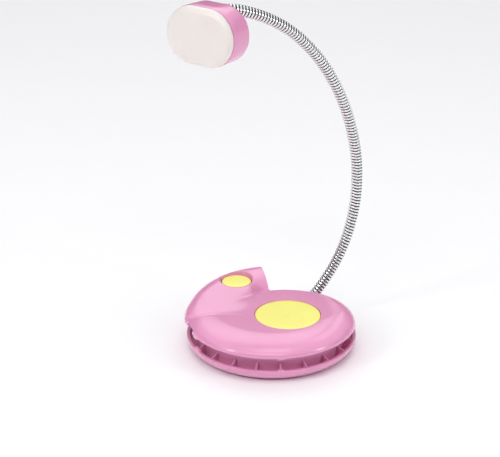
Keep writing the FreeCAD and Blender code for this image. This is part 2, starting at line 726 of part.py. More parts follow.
def head_housing():
    shell = obround(HEAD_R, 0, DEPTH)
    shell = shell.makeFillet(size("head_edge"), edges_at(shell, DEPTH))
    cavity = obround(HEAD_R - HEAD_WALL, -1, DEPTH - HEAD_WALL)
    cavity = cavity.makeFillet(size("head_edge") - HEAD_WALL, edges_at(cavity, DEPTH - HEAD_WALL))
    housing = shell.cut(cavity)
    collar_start = TIP_END - TIP_DIR * 5.6
    housing = housing.fuse(Part.makeCylinder(NECK_R + 0.8, 5.0, collar_start, TIP_DIR))
    for post in POSTS:
        start = Vec(post.x, BOARD_FRONT + 1.0, post.z)
        housing = housing.fuse(Part.makeCylinder(1.6, DEPTH - HEAD_WALL - start.y + 0.3, start, Vec(0, 1, 0)))
        housing = housing.cut(Part.makeCylinder(0.62, 3.2, start, Vec(0, 1, 0)))
    bore = Part.makeCylinder(NECK_R + 0.1, 12, TIP_END - TIP_DIR * 11.7, TIP_DIR)
    return housing.cut(bore).removeSplitter()


feature("head_housing", head_housing(), HEAD)


def diffuser():
    high = size("diffuser_height")
    cap = obround(HEAD_R - 0.15, -high, -0.1)
    cap = cap.makeFillet(size("diffuser_edge"), edges_at(cap, -high))
    lip = obround(HEAD_R - HEAD_WALL - 0.1, -0.2, 1.4)
    hollow = obround(HEAD_R - HEAD_WALL - 1.1, 1.1 - high, 1.5)
    return cap.fuse(lip).cut(hollow).removeSplitter()


feature("diffuser", diffuser(), HEAD)

LED_SPOTS = [Vec(x, 0, z) for x in (-5, 0, 5) for z in (-3.6, 3.6)]


def led_box(spot, grow, front, back):
    low = Vec(spot.x - 1.4 - grow, front, spot.z - 1.75 - grow)
    high = Vec(spot.x + 1.4 + grow, back, spot.z + 1.75 + grow)
    return box(low, high)


def reflector():
    plate = obround(HEAD_R - HEAD_WALL - 0.2, 2.0, 3.4).cut(obround(HEAD_R - HEAD_WALL - 1.2, 1.0, 2.8))
    for spot in LED_SPOTS:
        plate = plate.cut(led_box(spot, 0.3, 1, 5))
    for post in POSTS:
        plate = plate.cut(Part.makeCylinder(1.45, 5, post, Vec(0, 1, 0)))
    return plate


feature("reflector", reflector(), HEAD)

led_board = obround(HEAD_R - HEAD_WALL - 0.3, BOARD_FRONT, BOARD_FRONT + 1.0)
for post in POSTS:
    led_board = led_board.cut(Part.makeCylinder(0.7, 8, post, Vec(0, 1, 0)))
feature("led_board", led_board, HEAD)
feature("leds", Part.makeCompound([led_box(s, 0, BOARD_FRONT - 0.8, BOARD_FRONT) for s in LED_SPOTS]), HEAD)


def head_screw(post):
    head = Part.makeCylinder(1.3, 0.6, Vec(post.x, BOARD_FRONT - 0.6, 0), Vec(0, 1, 0))
    return head.fuse(Part.makeCylinder(0.6, 4, Vec(post.x, BOARD_FRONT - 0.1, 0), Vec(0, 1, 0)))


feature("head_screws", Part.makeCompound([head_screw(post) for post in POSTS]), HEAD)

# ---------------------------------------------------------------- check and write
doc.recompute()
for thing in doc.Objects:
    bad = [state for state in thing.State if state in ("Invalid", "Error")]
    if bad:
        raise RuntimeError("%s: %s" % (thing.Name, bad))
for label, thing in parts.items():
    if thing.Shape.isNull() or not thing.Shape.isValid():
        raise RuntimeError("bad shape: " + label)

os.makedirs("parts", exist_ok=True)
for label, thing in parts.items():
    thing.Shape.exportStep("parts/%s.step" % label)
    bounds = thing.Shape.BoundBox
    print("%-18s %2d solids %9.1f mm3  x %.1f..%.1f  y %.1f..%.1f  z %.1f..%.1f"
          % (label, len(thing.Shape.Solids), thing.Shape.Volume, bounds.XMin, bounds.XMax,
             bounds.YMin, bounds.YMax, bounds.ZMin, bounds.ZMax))
for number, (point, tangent, inward) in enumerate(FRAMES):
    print("joint %d at (%.3f, %.3f, %.3f), along (%.4f, %.4f, %.4f), bending towards (%.4f, %.4f, %.4f)"
          % (number + 1, *point, *tangent, *inward))
print("neck end in the head's frame", TIP_END, TIP_DIR)
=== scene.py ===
"""Looks for the clip-on reading lamp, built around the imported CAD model.

Lengths are in mm until a mesh is made.
"""

import json
import math

import bmesh
import bpy
from mathutils import Matrix, Vector


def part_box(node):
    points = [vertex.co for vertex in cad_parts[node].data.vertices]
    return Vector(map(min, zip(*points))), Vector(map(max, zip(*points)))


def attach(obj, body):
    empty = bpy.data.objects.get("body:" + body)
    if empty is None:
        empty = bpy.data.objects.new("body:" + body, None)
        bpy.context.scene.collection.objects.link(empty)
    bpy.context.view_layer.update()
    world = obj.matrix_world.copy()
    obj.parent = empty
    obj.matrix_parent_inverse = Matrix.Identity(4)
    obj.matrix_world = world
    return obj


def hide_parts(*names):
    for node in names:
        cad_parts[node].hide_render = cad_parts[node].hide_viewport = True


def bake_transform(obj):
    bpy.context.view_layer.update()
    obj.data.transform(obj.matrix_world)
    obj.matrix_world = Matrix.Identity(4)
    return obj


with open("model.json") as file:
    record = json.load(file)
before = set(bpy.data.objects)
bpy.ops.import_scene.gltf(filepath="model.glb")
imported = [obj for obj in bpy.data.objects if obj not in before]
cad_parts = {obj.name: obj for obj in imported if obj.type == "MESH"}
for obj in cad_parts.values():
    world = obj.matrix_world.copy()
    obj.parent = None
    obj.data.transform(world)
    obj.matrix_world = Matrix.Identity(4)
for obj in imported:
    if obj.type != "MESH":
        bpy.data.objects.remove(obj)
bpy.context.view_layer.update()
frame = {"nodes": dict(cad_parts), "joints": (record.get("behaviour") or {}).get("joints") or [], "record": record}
MM = 0.001


def cad_box(node):
    """A CAD node's lowest and highest corners, in mm."""
    low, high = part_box(node)
    return Vector(low) / MM, Vector(high) / MM


def cad_centre(node):
    low, high = cad_box(node)
    return (low + high) / 2


# ---------------------------------------------------------------- mesh helpers
def smoothstep(x, a, b):
    t = min(max((x - a) / (b - a), 0.0), 1.0)
    return t * t * (3 - 2 * t)


def plateau(x, a, b, c, d):
    """Rises from 0 to 1 between a and b, and falls back between c and d."""
    return smoothstep(x, a, b) - smoothstep(x, c, d)


def polar(radius, azimuth, z=0.0):
    angle = math.radians(azimuth)
    return Vector((radius * math.cos(angle), radius * math.sin(angle), z))


def azimuth_of(p):
    return math.degrees(math.atan2(p.y, p.x)) % 360


class Shape:
    """A growing list of vertices and faces, in mm."""

    def __init__(self):
        self.verts = []
        self.faces = []

    def ring(self, points):
        start = len(self.verts)
        self.verts.extend(points)
        return list(range(start, start + len(points)))

    def band(self, a, b, closed=True):
        """Quads between two rows of vertices."""
        n = len(a)
        for i in range(n if closed else n - 1):
            j = (i + 1) % n
            self.faces.append((a[i], a[j], b[j], b[i]))

    def cap(self, row):
        self.faces.append(tuple(row))

    def loft(self, rows, closed=True, caps=(True, True)):
        rings = [self.ring(row) for row in rows]
        for a, b in zip(rings, rings[1:]):
            self.band(a, b, closed)
        if caps[0]:
            self.cap(rings[0])
        if caps[1]:
            self.cap(rings[-1][::-1])
        return rings

    def lathe(self, profile, centre=Vector((0, 0, 0)), steps=128, axes=None):
        """Turns a profile of (radius, height) round +Z, or round the last of the three given axes."""
        x_dir, y_dir, z_dir = axes or (Vector((1, 0, 0)), Vector((0, 1, 0)), Vector((0, 0, 1)))
        rows = []
        for radius, height in profile:
            row = []
            for i in range(steps):
                angle = 2 * math.pi * i / steps
                side = x_dir * math.cos(angle) + y_dir * math.sin(angle)
                row.append(centre + side * radius + z_dir * height)
            rows.append(row)
        return self.loft(rows, caps=(profile[0][0] > 0, profile[-1][0] > 0))

    def build(self, name, sharp=35.0, merge=0.0005):
        mesh = bpy.data.meshes.new(name)
        mesh.from_pydata([tuple(v * MM) for v in self.verts], [], self.faces)
        obj = bpy.data.objects.new(name, mesh)
        bpy.context.collection.objects.link(obj)
        work = bmesh.new()
        work.from_mesh(mesh)
        bmesh.ops.remove_doubles(work, verts=work.verts, dist=merge * MM)
        bmesh.ops.recalc_face_normals(work, faces=work.faces)
        work.to_mesh(mesh)
        work.free()
        mesh.shade_smooth()
        mesh.set_sharp_from_angle(angle=math.radians(sharp))
        return obj


def arc_profile(centre, radius, start, end, steps):
    """Points (r, z) along an arc, angles in degrees."""
    points = []
    for i in range(steps + 1):
        angle = math.radians(start + (end - start) * i / steps)
        points.append((centre[0] + radius * math.cos(angle), centre[1] + radius * math.sin(angle)))
    return points


# ---------------------------------------------------------------- materials
def plastic(name, colour, roughness=0.3, coat=0.3, subsurface=0.0, variation=0.03, grain=900.0, bump=0.02):
    """Moulded plastic: slight cloudy colour variation, uneven gloss and a very fine surface grain."""
    material = bpy.data.materials.new(name)
    material.use_nodes = True
    nodes = material.node_tree.nodes
    links = material.node_tree.links
    shader = nodes["Principled BSDF"]
    shader.inputs["Coat Weight"].default_value = coat
    shader.inputs["Coat Roughness"].default_value = 0.07
    shader.inputs["IOR"].default_value = 1.5
    if subsurface > 0:
        shader.inputs["Subsurface Weight"].default_value = subsurface
        shader.inputs["Subsurface Radius"].default_value = (1.0, 0.5, 0.6)
        shader.inputs["Subsurface Scale"].default_value = 0.003
    where = nodes.new("ShaderNodeTexCoord")
    cloud = nodes.new("ShaderNodeTexNoise")
    cloud.inputs["Scale"].default_value = 60.0
    cloud.inputs["Detail"].default_value = 3.0
    links.new(where.outputs["Object"], cloud.inputs["Vector"])
    ramp = nodes.new("ShaderNodeValToRGB")
    dark = [c * (1 - variation) for c in colour]
    light = [min(c * (1 + variation), 1.0) for c in colour]
    ramp.color_ramp.elements[0].position = 0.3
    ramp.color_ramp.elements[0].color = (*dark, 1)
    ramp.color_ramp.elements[1].position = 0.7
    ramp.color_ramp.elements[1].color = (*light, 1)
    links.new(cloud.outputs["Fac"], ramp.inputs["Fac"])
    links.new(ramp.outputs["Color"], shader.inputs["Base Color"])
    gloss = nodes.new("ShaderNodeMapRange")
    gloss.inputs["To Min"].default_value = roughness * 0.85
    gloss.inputs["To Max"].default_value = roughness * 1.15
    links.new(cloud.outputs["Fac"], gloss.inputs["Value"])
    links.new(gloss.outputs["Result"], shader.inputs["Roughness"])
    fine = nodes.new("ShaderNodeTexNoise")
    fine.inputs["Scale"].default_value = grain
    links.new(where.outputs["Object"], fine.inputs["Vector"])
    rise = nodes.new("ShaderNodeBump")
    rise.inputs["Strength"].default_value = bump
    rise.inputs["Distance"].default_value = 0.0002
    links.new(fine.outputs["Fac"], rise.inputs["Height"])
    links.new(rise.outputs["Normal"], shader.inputs["Normal"])
    return material


def metal(name, colour, roughness=0.15, scratches=0.02, stretch=(1, 1, 40)):
    """Bright metal with faint drawn scratches."""
    material = bpy.data.materials.new(name)
    material.use_nodes = True
    nodes = material.node_tree.nodes
    links = material.node_tree.links
    shader = nodes["Principled BSDF"]
    shader.inputs["Metallic"].default_value = 1.0
    where = nodes.new("ShaderNodeTexCoord")
    drawn = nodes.new("ShaderNodeMapping")
    drawn.inputs["Scale"].default_value = stretch
    links.new(where.outputs["Object"], drawn.inputs["Vector"])
    noise = nodes.new("ShaderNodeTexNoise")
    noise.inputs["Scale"].default_value = 400.0
    noise.inputs["Detail"].default_value = 2.0
    links.new(drawn.outputs["Vector"], noise.inputs["Vector"])
    tone = nodes.new("ShaderNodeValToRGB")
    tone.color_ramp.elements[0].color = (*[c * 0.94 for c in colour], 1)
    tone.color_ramp.elements[1].color = (*colour, 1)
    links.new(noise.outputs["Fac"], tone.inputs["Fac"])
    links.new(tone.outputs["Color"], shader.inputs["Base Color"])
    gloss = nodes.new("ShaderNodeMapRange")
    gloss.inputs["To Min"].default_value = roughness * 0.8
    gloss.inputs["To Max"].default_value = roughness * 1.2
    links.new(noise.outputs["Fac"], gloss.inputs["Value"])
    links.new(gloss.outputs["Result"], shader.inputs["Roughness"])
    rise = nodes.new("ShaderNodeBump")
    rise.inputs["Strength"].default_value = scratches
    rise.inputs["Distance"].default_value = 0.0001
    links.new(noise.outputs["Fac"], rise.inputs["Height"])
    links.new(rise.outputs["Normal"], shader.inputs["Normal"])
    return material


PINK = (0.80, 0.325, 0.54)
YELLOW = (1.0, 0.92, 0.23)
materials = {
    "pink_plastic": plastic("pink_plastic", PINK, roughness=0.24, coat=0.5, subsurface=0.08),
    "yellow_plastic": plastic("yellow_plastic", YELLOW, roughness=0.35, coat=0.15, subsurface=0.06),
    "white_plastic": plastic("white_plastic", (0.85, 0.85, 0.84), roughness=0.45),
    "milky_plastic": plastic("milky_plastic", (0.84, 0.78, 0.745), roughness=0.32, coat=0.3, subsurface=0.4),
    "grip_rubber": plastic("grip_rubber", (0.62, 0.2, 0.36), roughness=0.6, coat=0, bump=0.2, grain=500),
    "dark_plastic": plastic("dark_plastic", (0.03, 0.03, 0.03), roughness=0.5),
    "board": plastic("board", (0.02, 0.13, 0.05), roughness=0.4, grain=250, bump=0.1),
    "board_white": plastic("board_white", (0.84, 0.84, 0.82), roughness=0.5),
    "resistor_body": plastic("resistor_body", (0.04, 0.04, 0.045), roughness=0.5),
    "led_body": plastic("led_body", (0.86, 0.74, 0.25), roughness=0.5),
    "steel": metal("steel", (0.60, 0.60, 0.62), roughness=0.28, scratches=0.1),
    "cell_steel": metal("cell_steel", (0.66, 0.66, 0.67), roughness=0.3, scratches=0.1, stretch=(1, 30, 1)),
    "contact_brass": metal("contact_brass", (0.72, 0.52, 0.22), roughness=0.3, scratches=0.1),
    "neck_chrome": metal("neck_chrome", (0.86, 0.87, 0.88), roughness=0.09, scratches=0.02),
}
# the neck's inner core is near-black as painted shade: it stands for the shadow in the gaps between the wire's
# turns
gap_shade_core_material = plastic("neck_core_black", (0.006, 0.006, 0.0065), roughness=0.7, coat=0)

for part in frame["record"]["subparts"]:
    node = frame["nodes"][part["node"]]
    node.data.materials.clear()
    node.data.materials.append(materials[part["material_slot"]])


def dress(obj, body, slot, *nodes):
    """Gives a piece its finish and its body, and hides the CAD nodes that it stands for."""
    obj.data.materials.append(materials[slot])
    if body:
        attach(obj, body)
    if nodes:
        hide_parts(*nodes)
    return obj


# ---------------------------------------------------------------- the snail-shaped upper shell
WELL = cad_centre("battery_cover")
WELL.z = 0
BUTTON = cad_centre("button_cap")
BUTTON.z = 0
LID_LOW, LID_HIGH = cad_box("battery_cover")
LID_R = (LID_HIGH.x - LID_LOW.x) / 2
LID_HOLE = LID_R + 0.2
TOP = LID_HIGH.z
BASE_R = 33.0
RIM = 10.4              # height of the shell's rim
LIP = 0.45              # straight part at the rim
COIL_R = 25.6
COIL = polar(BASE_R - COIL_R, -40.1)
COIL_BULGE = 1.3
CHEEK = 0.7
SHOULDER = 12.0
WHORL_AZ = 190.0        # where the whorl leaves the round base
WHORL_OFFSET = 3.0
WHORL_CENTRE = polar(WHORL_OFFSET, WHORL_AZ - 180)
WHORL_R = BASE_R + WHORL_OFFSET
CLIMB = math.tan(math.radians(6.6))
CLIMB_DIR = polar(1, WHORL_AZ - 90)
TANGENT_AZ = azimuth_of(COIL)
# at the mouth, from the well's centre: the whorl's crest and the foot of its inner flank
CREST_R = 38.0
CREASE_FOOT = 25.0
FLANK_DROP = 8.0
BUTTON_HIGH = cad_box("button_cap")[1].z
BUTTON_R = 6.0
BUTTON_HOLE = BUTTON_R + 0.25


def dome(r, radius, shoulder):
    u = min(max((r - (radius - shoulder)) / shoulder, 0.0), 1.0)
    return math.sqrt(1 - u * u)


def soft_max(a, b, k):
    h = max(k - abs(a - b), 0.0) / k
    return max(a, b) + h * h * k / 4


def climb(p):
    """How far the tilted whorl has risen at a point."""
    back = p.dot(CLIMB_DIR)
    r = (p - COIL).length
    return (back + math.sqrt(back * back + 4)) / 2 * CLIMB * smoothstep(r, 12.5, 24)


def coil_turn(p):
    """How far round the coil a point is from where it leaves the round base."""
    return (azimuth_of(p - COIL) - TANGENT_AZ + 60) % 360 - 60


def coil_reach(p):
    """The coil's outline: a circle that bulges a little where it leaves the round base."""
    return COIL_R + COIL_BULGE * (smoothstep(coil_turn(p), 5, 50) - smoothstep(coil_turn(p), 70, 125))


def coil_height(p):
    shoulder = SHOULDER - 6.5 * smoothstep(coil_turn(p), 10, 60)
    return RIM + LIP + (TOP - RIM - LIP) * dome((p - COIL).to_2d().length, coil_reach(p), shoulder)


def cheek(p):
    """The shell's left flank swells a little round the hinge pin's hole."""
    return CHEEK * plateau(azimuth_of(p), 160, 179, 185, 189.5)


def top_height(p, zone):
    """Height of the shell's top at a point, in one of the three zones."""
    rise = TOP - RIM - LIP
    base = RIM + LIP
    if zone == "round":
        return base + rise * dome(p.length, BASE_R + cheek(p), SHOULDER)
    if zone == "coil":
        return coil_height(p)
    shoulder = 7 + 5 * smoothstep(azimuth_of(p), 150, WHORL_AZ)
    whorl = base + rise * dome((p - WHORL_CENTRE).length, WHORL_R + cheek(p), shoulder) + climb(p)
    turn = azimuth_of(p - WELL)
    far = smoothstep(turn, 104, 132)
    crest = CREST_R + (26 - CREST_R) * far
    foot = CREASE_FOOT + (18.5 - CREASE_FOOT) * far
    u = min(max((crest - (p - WELL).length) / (crest - foot), 0.0), 1.0)
    flank = whorl - FLANK_DROP * (1 - math.sqrt(1 - u * u))
    creased = soft_max(coil_height(p), flank, 0.7)
    return whorl + (creased - whorl) * smoothstep(turn, 168, 124)


def reach(theta, centre, radius):
    """How far a ray from the well's centre goes before it leaves a circle."""
    direction = polar(1, theta)
    offset = WELL - centre
    along = offset.dot(direction)
    return -along + math.sqrt(along * along - offset.length_squared + radius * radius)


BREAK_R = 19.2          # from here out, the mouth separates the whorl's end from the coil
MOUTH_AZ = 104.8        # azimuth of the mouth's edge about the well's centre
MOUTH_EDGE = 0.35       # the mouth's edge is rounded over this many degrees


def edge_turn(r, turn):
    """An azimuth that keeps the same distance from the mouth's plane all along it."""
    return MOUTH_AZ + turn * BREAK_R / max(r, BREAK_R)


def rim_height(azimuth):
    """The rim's lower edge: level but for two nubs and the notch beside the hinge pin."""
    side = (azimuth + 180) % 360 - 180
    nubs = 0.8 * plateau(side, -154.6, -154.1, -150.4, -149.6)
    nubs += 0.5 * plateau(side, -86.9, -86.5, -82.7, -82.3)
    return RIM - nubs + 1.55 * plateau(side, -171, -168, -157.2, -156.7)


INNER_ROWS = 14
OUTER_ROWS = 100


def shell_column(theta_of, zone, edge=0.0):
    """One line of the shell, from inside the lid's hole over the top to the rim's lower edge."""
    centre, radius = {"round": (Vector((0, 0, 0)), BASE_R), "coil": (COIL, COIL_R),
                      "whorl": (WHORL_CENTRE, WHORL_R)}[zone]
    outer = theta_of(BREAK_R * 2)
    if zone == "coil":
        for _ in range(3):
            radius = coil_reach(WELL + polar(reach(outer, centre, radius), outer))
    else:
        radius += cheek(WELL + polar(reach(outer, centre, radius), outer))
    out = reach(outer, centre, radius)
    low = rim_height(azimuth_of(WELL + polar(out, outer))) + 0.12
    if low > RIM + LIP:
        inside = BREAK_R
        for _ in range(20):
            middle = (inside + out) / 2
            if top_height(WELL + polar(middle, outer), zone) > low:
                inside = middle
            else:
                out = middle
    out -= edge
    hole = WELL + polar(LID_HOLE, theta_of(0))
    column = [hole + Vector((0, 0, TOP - depth)) for depth in (1.3, 0.7, 0.14)]
    spots = [LID_HOLE + 0.14 + (BREAK_R - LID_HOLE - 0.14) * i / INNER_ROWS for i in range(INNER_ROWS)]
    spots += [BREAK_R + (out - BREAK_R) * (1 - (1 - i / OUTER_ROWS) ** 2) for i in range(OUTER_ROWS + 1)]
    for r in spots:
        p = WELL + polar(r, theta_of(r))
        z = top_height(p, zone)
        column.append(Vector((p.x, p.y, z - edge * smoothstep(r, BREAK_R, BREAK_R + 3))))
    rim = column[-1]
    for i in range(1, 5):
        column.append(Vector((rim.x, rim.y, rim.z + (low - rim.z) * i / 4)))
    return column


def zone_of(theta, k, steps):
    wrapped = theta % 360
    if k < steps / 2 and (wrapped <= MOUTH_AZ + 1 or wrapped > TANGENT_AZ):
        return "coil"
    outer = WELL + polar(reach(wrapped, Vector((0, 0, 0)), BASE_R), wrapped)
    return "round" if azimuth_of(outer) >= WHORL_AZ else "whorl"


def shell_columns():
    columns = []
    steps = 900
    for k in range(steps + 1):
        theta = MOUTH_AZ - (360 - MOUTH_EDGE) * k / steps
        columns.append(shell_column(lambda r, t=theta: t, zone_of(theta, k, steps)))
    # a small rounding at the mouth's edge, then the mouth's own wall down to the coil's first line
    for turn, inset in ((0.2, 0.02), (0.1, 0.08), (0.03, 0.18), (0.0, 0.3)):
        columns.append(shell_column(lambda r, t=turn: edge_turn(r, t), "whorl", inset))
    mouth = columns[-1]
    foot = []
    for p in mouth:
        level = coil_height(p) if (p - COIL).to_2d().length < COIL_R else RIM
        foot.append(Vector((p.x, p.y, min(p.z, level))))
    for i in range(1, 6):
        columns.append([a.lerp(b, i / 5) for a, b in zip(mouth, foot)])
    return columns


def turned_in(columns):
    """Two more points on each line: the rim's rounded lower edge, then its inner side."""
    rim = [column[-1] for column in columns]
    n = len(rim)
    for i, column in enumerate(columns):
        along = rim[(i + 2) % n] - rim[i - 2]
        along.z = 0
        if along.length < 1e-6:
            along = Vector((1, 0, 0))
        inward = Vector((along.y, -along.x, 0)).normalized()
        p = rim[i]
        for step, z in ((0.12, -0.12), (1.2, -0.12), (1.3, 0.0), (1.35, min(1.6, 12.6 - p.z))):
            column.append(p + inward * step + Vector((0, 0, z)))


def button_hole(shape):
    """Opens a round hole for the button: cuts the faces over it and lays neat rings down into the recess."""
    outer = BUTTON_HOLE + 1.5

    def flat(v):
        return Vector((v.x - BUTTON.x, v.y - BUTTON.y, 0)).length

    kept = []
    for face in shape.faces:
        middle = sum((shape.verts[i] for i in face), Vector((0, 0, 0))) / len(face)
        if flat(middle) > outer or middle.z < RIM + 4:
            kept.append(face)
    edges = set()
    for face in kept:
        for pair in zip(face, face[1:] + face[:1]):
            edges.add(pair)
    border = set()
    for a, b in edges:
        if (b, a) not in edges and flat(shape.verts[a]) < outer + 1.2 and shape.verts[a].z > RIM + 4:
            border.update((a, b))
    shape.faces = kept
    order = sorted(border, key=lambda i: math.atan2(shape.verts[i].y - BUTTON.y, shape.verts[i].x - BUTTON.x))
    sides = []
    for i in order:
        v = shape.verts[i]
        side = Vector((v.x - BUTTON.x, v.y - BUTTON.y, 0)).normalized()
        sides.append(side)
        p = BUTTON + side * outer
        shape.verts[i] = Vector((p.x, p.y, top_height(p, "whorl")))
    previous = order
    lip = BUTTON_HOLE + 0.55
    profile = [(outer - 0.4, 0.0), (lip + 0.25, 0.0), (lip + 0.08, 0.08), (lip, 0.25),
               (lip - 0.02, 1.0), (BUTTON_HOLE + 0.1, 1.0), (BUTTON_HOLE, 1.4)]
    for radius, sink in profile:
        row = []
        for side in sides:
            p = BUTTON + side * radius
            top = top_height(p, "whorl")
            seat = BUTTON_HIGH - 0.1
            z = top - sink if sink < 0.9 else min(top - 0.05, seat) - (sink - 1.0) * 3
            row.append(Vector((p.x, p.y, z)))
        ring = shape.ring(row)
        shape.band(previous, ring)
        previous = ring


def neck_socket(shape):
    """The inclined socket at the back of the shell that holds the neck's root."""
    t = neck_line(0.01)[1]
    start = neck_line(0)[0] + t * (ROOT_LENGTH - 3.0)
    x_dir = t.orthogonal().normalized()
    profile = [(2.25, 0.0), (3.2, 0.0), (3.4, -0.2), (3.4, -5.0), (2.25, -5.0), (2.25, 0.0)]
    rings = shape.lathe(profile, start, 64, (x_dir, t.cross(x_dir), t))
    for ring in rings:
        for i in ring:
            shape.verts[i].z = max(shape.verts[i].z, 6.4)


def pin_hole(shape):
    """Sinks the small hole in the shell's left flank, through which the hinge pin was pushed."""
    for v in shape.verts:
        if v.x < -29:
            away = math.hypot(v.y - PIN_HOLE.y, v.z - PIN_HOLE.z)
            v.x += 1.0 * (1 - smoothstep(away, 0.4, 0.65))


PIN_HOLE = Vector((-33, -2.9, 12.1))
CLIP_HINGE = next(j for j in frame["joints"] if j["name"] == "clip_hinge")
HINGE = Vector(CLIP_HINGE["pos_m"]) / MM
HINGE_DIR = -Vector(CLIP_HINGE["axis"])
HINGE_BACK = Vector((0, 0, 1)).cross(HINGE_DIR)

# ---------------------------------------------------------------- the neck's line
PIVOTS = [Vector(j["pos_m"]) / MM for j in frame["joints"] if j["name"].startswith("neck_bend")]
ROOT_LENGTH = 6.4
TIP_RADIUS = 30.0
TIP_TURN = math.radians(19)


def neck_points():
    """Points a short step apart along the neck: from the root, through the joints, into the head."""
    chords = [(b - a).normalized() for a, b in zip(PIVOTS, PIVOTS[1:])]
    tangents = [(a + b).normalized() for a, b in zip(chords, chords[1:])]
    first = (2 * tangents[0].dot(chords[0]) * chords[0] - tangents[0]).normalized()
    last = (2 * tangents[-1].dot(chords[-1]) * chords[-1] - tangents[-1]).normalized()
    tangents = [first] + tangents + [last]
    points = [PIVOTS[0] - first * (ROOT_LENGTH * (1 - i / 12)) for i in range(12)]
    for a, b, ta, tb in zip(PIVOTS, PIVOTS[1:], tangents, tangents[1:]):
        pull = (b - a).length
        for i in range(24):
            t = i / 24
            points.append(a * (2 * t ** 3 - 3 * t * t + 1) + b * (3 * t * t - 2 * t ** 3)
                          + ta * pull * (t ** 3 - 2 * t * t + t) + tb * pull * (t ** 3 - t * t))
    side = (PIVOTS[-1] - PIVOTS[-3]).cross(PIVOTS[-2] - PIVOTS[-3]).normalized()
    inward = (last.cross(side)).normalized()
    for i in range(15):
        angle = TIP_TURN * i / 14
        points.append(PIVOTS[-1] + last * (TIP_RADIUS * math.sin(angle))
                      + inward * (TIP_RADIUS * (1 - math.cos(angle))))
    return points, side


NECK_POINTS, NECK_SIDE = neck_points()
NECK_AT = [0.0]
for a, b in zip(NECK_POINTS, NECK_POINTS[1:]):
    NECK_AT.append(NECK_AT[-1] + (b - a).length)
NECK_LENGTH = NECK_AT[-1]


def neck_line(s):
    """The point and tangent at a length along the neck."""
    s = min(max(s, 0.0), NECK_LENGTH)
    low, high = 0, len(NECK_AT) - 1
    while high - low > 1:
        middle = (low + high) // 2
        if NECK_AT[middle] <= s:
            low = middle
        else:
            high = middle
    a, b = NECK_POINTS[low], NECK_POINTS[high]
    f = (s - NECK_AT[low]) / (NECK_AT[high] - NECK_AT[low])
    before = NECK_POINTS[max(low - 1, 0)]
    after = NECK_POINTS[min(high + 1, len(NECK_POINTS) - 1)]
    tangent = (b - before).normalized().lerp((after - a).normalized(), f).normalized()
    return a.lerp(b, f), tangent


def upper_shell():
    shape = Shape()
    columns = shell_columns()
    turned_in(columns)
    rings = [shape.ring(column) for column in columns]
    for a, b in zip(rings, rings[1:] + rings[:1]):
        shape.band(a, b, closed=False)
    button_hole(shape)
    neck_socket(shape)
    pin_hole(shape)
    obj = shape.build("upper_shell_skin", sharp=40, merge=0.004)
    return dress(obj, "clip_shell", "pink_plastic", "upper_shell")


upper_shell()


# ---------------------------------------------------------------- lid and button
def round_cap(name, node, crown, edge, dimple, body):
    """A round moulded cap with a softened edge, a slight crown and, on the lid, a gate mark in its middle."""
    low, high = cad_box(node)
    centre = (low + high) / 2
    radius = (high.x - low.x) / 2
    top = high.z - low.z
    profile = [(0.0, top - dimple)]
    if dimple > 0:
        profile += [(0.3, top - dimple), (0.4, top - 0.04), (0.5, top - 0.01)]
    steps = 10
    for i in range(1, steps + 1):
        r = (radius - edge) * i / steps
        if r > 0.8:
            profile.append((r, top - crown * (r / radius) ** 2))
    rim = top - crown
    profile += arc_profile((radius - edge, rim - edge), edge, 80, 0, 6)
    profile += [(radius, 0.1), (radius - 0.1, 0.0), (0.0, 0.0)]
    shape = Shape()
    shape.lathe(profile, Vector((centre.x, centre.y, low.z)), 160)
    return dress(shape.build(name, sharp=50), body, "yellow_plastic", node)


round_cap("battery_lid", "battery_cover", 0.12, 0.4, 0.6, "battery_lid")
round_cap("button_top", "button_cap", 0.25, 0.6, 0.0, "power_button")


# ---------------------------------------------------------------- the lower jaw
SAUCER_RIM = 5.3
SAUCER_FOOT = 26.0
SAUCER_FLOOR = 1.4
RIB_MIDDLE = -84.3      # azimuth of the front rib
RIB_PITCH_LEFT = 17.1   # the ribs stand a little closer on the left
RIB_PITCH_RIGHT = 18
LUG_SPANS = ((-26.5, -24.8), (-20.6, -18.9), (20.2, 21.7))   # along the hinge's line
LUG_R = 2


def saucer(shape):
    rim = SAUCER_RIM
    foot = SAUCER_FOOT
    profile = [(0.0, 0.0), (12.0, 0.0), (24.0, 0.0)]
    for i in range(25):
        angle = math.pi / 2 * i / 24
        profile.append((foot + (BASE_R - foot) * math.sin(angle), (rim - 0.2) * (1 - math.cos(angle))))
    profile += [(32.94, rim - 0.06), (32.8, rim), (31.9, rim), (31.72, rim - 0.1), (31.6, rim - 0.35)]
    for i in range(13):
        angle = math.pi / 2 * (1 - i / 12)
        profile.append((foot - 1.4 + 7.0 * math.sin(angle),
                        SAUCER_FLOOR + (rim - 1.9) * (1 - math.cos(angle))))
    profile += [(12.0, SAUCER_FLOOR), (0.0, SAUCER_FLOOR)]
    rings = shape.lathe(profile, steps=360)
    for ring in rings:
        for i in ring:
            rim_detail(shape.verts[i])


def rim_detail(v):
    """Raises the rim's two nubs, and cuts the rim down behind the hinge."""
    side = (azimuth_of(v) + 180) % 360 - 180
    if math.hypot(v.x, v.y) > 31 and v.z > 3:
        lift = 1.2 * plateau(side, -153.2, -152.2, -147.6, -146.2)
        lift += 0.5 * plateau(side, -86.7, -86.2, -83.0, -82.5)
        v.z += lift * (v.z - 3) / 2.3
    back = (v - HINGE).dot(HINGE_BACK)
    if back > 4.2:
        v.z = min(v.z, 10.0 - 0.2493 * back)


def grip_wall(shape):
    """The wall that carries the grip plate."""
    wall = []
    for radius, z in ((27.3, 1.2), (28.6, 1.2), (28.6, 8.2), (28.5, 8.3), (27.4, 8.3), (27.3, 8.2)):
        wall.append([polar(radius, -174 + 179.5 * i / 240, z) for i in range(241)])
    rings = [shape.ring(row) for row in wall]
    for a, b in zip(rings, rings[1:] + rings[:1]):
        shape.band(a, b, closed=False)
    shape.cap([ring[0] for ring in rings])
    shape.cap([ring[-1] for ring in rings][::-1])


